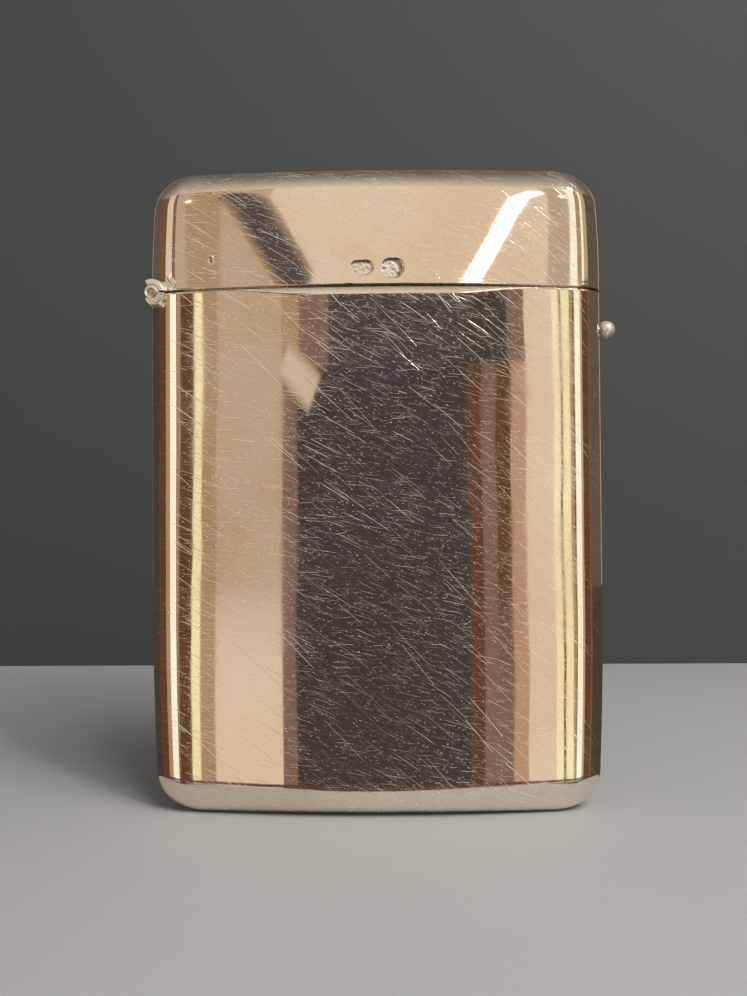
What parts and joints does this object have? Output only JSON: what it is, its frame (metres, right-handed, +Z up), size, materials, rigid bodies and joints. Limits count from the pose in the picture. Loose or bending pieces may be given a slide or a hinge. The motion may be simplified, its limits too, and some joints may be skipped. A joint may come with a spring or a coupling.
{
  "type": "card case",
  "caption": "Slim polished metal case for visiting cards, with a side-hinged lid and a sprung push-button catch.",
  "frame": {"origin": "middle of the flat strip under the case, where the front and back stampings meet", "axes": "+Z up along the case, towards the lid; +X to the right, towards the push button; the front faces -Y"},
  "size_m": [0.0659, 0.0114, 0.089],
  "materials": {
    "polished_silver": "polished, with fine hairline scratches",
    "dull_silver": "dull, unpolished",
    "spring_metal": "satin, hard-rolled"
  },
  "bodies": {
    "body": {"body_front": "polished_silver", "body_back": "polished_silver", "mouth_collar": "polished_silver", "body_knuckle_1": "polished_silver", "body_knuckle_2": "polished_silver", "body_knuckle_3": "polished_silver", "hinge_pin": "dull_silver", "body_bearer": "polished_silver", "button_bush": "dull_silver", "spring_seat": "dull_silver", "spring_rivet_1": "dull_silver", "spring_rivet_2": "dull_silver"},
    "lid": {"lid_front": "polished_silver", "lid_back": "polished_silver", "lid_knuckle_1": "polished_silver", "lid_knuckle_2": "polished_silver", "lid_bearer": "polished_silver", "catch_plate": "dull_silver"},
    "button": {"push_button": "polished_silver", "button_washer": "dull_silver"},
    "spring": {"catch_spring": "spring_metal"}
  },
  "joints": [
    {"name": "lid_hinge", "type": "hinge", "parent": "body", "child": "lid", "pos_m": [-0.03095, 0, 0.0721], "axis": [0, -1, 0], "range_deg": [0, 110]},
    {"name": "button_press", "type": "slide", "parent": "body", "child": "button", "axis": [-1, 0, 0], "range_m": [0, 0.00085], "stiffness_N_per_m": 1800},
    {"name": "spring_flex", "type": "hinge", "parent": "body", "child": "spring", "pos_m": [0.02962, 0, 0.0429], "axis": [0, -1, 0], "range_deg": [0, 2.1]}
  ],
  "couplings": [
    {"joint": "spring_flex", "follows": "button_press", "rad_per_m": 41.667}
  ]
}
